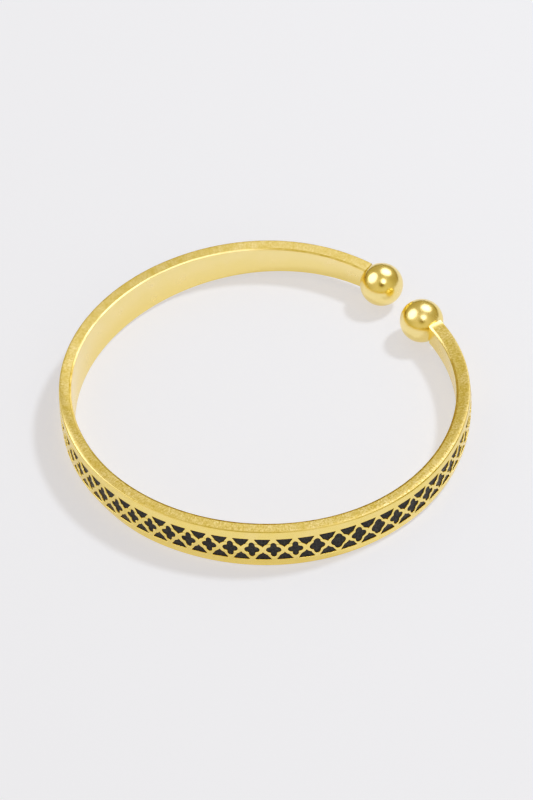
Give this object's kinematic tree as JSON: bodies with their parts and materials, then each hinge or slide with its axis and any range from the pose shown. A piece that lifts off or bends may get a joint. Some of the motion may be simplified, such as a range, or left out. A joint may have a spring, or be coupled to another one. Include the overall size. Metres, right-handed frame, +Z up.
{
  "type": "open cuff bangle",
  "caption": "Rigid open cuff bangle: a gold-coloured band with a black enamelled trellis tapers towards its opening and ends in polished balls.",
  "frame": {"origin": "middle of the bangle's footprint, on the surface that it lies on", "axes": "+Z up, along the axis of the wrist hollow; the opening between the balls faces +Y and the middle of the enamelled band faces -Y"},
  "size_m": [0.0628, 0.0627, 0.0073],
  "materials": {
    "gold": "polished inside and on the balls, satin and finely grained on the two edge faces",
    "black_enamel": "charcoal black enamel, satin with a soft gloss"
  },
  "bodies": {
    "root": {"cuff": "gold", "enamel_inlay": "black_enamel"}
  },
  "joints": []
}
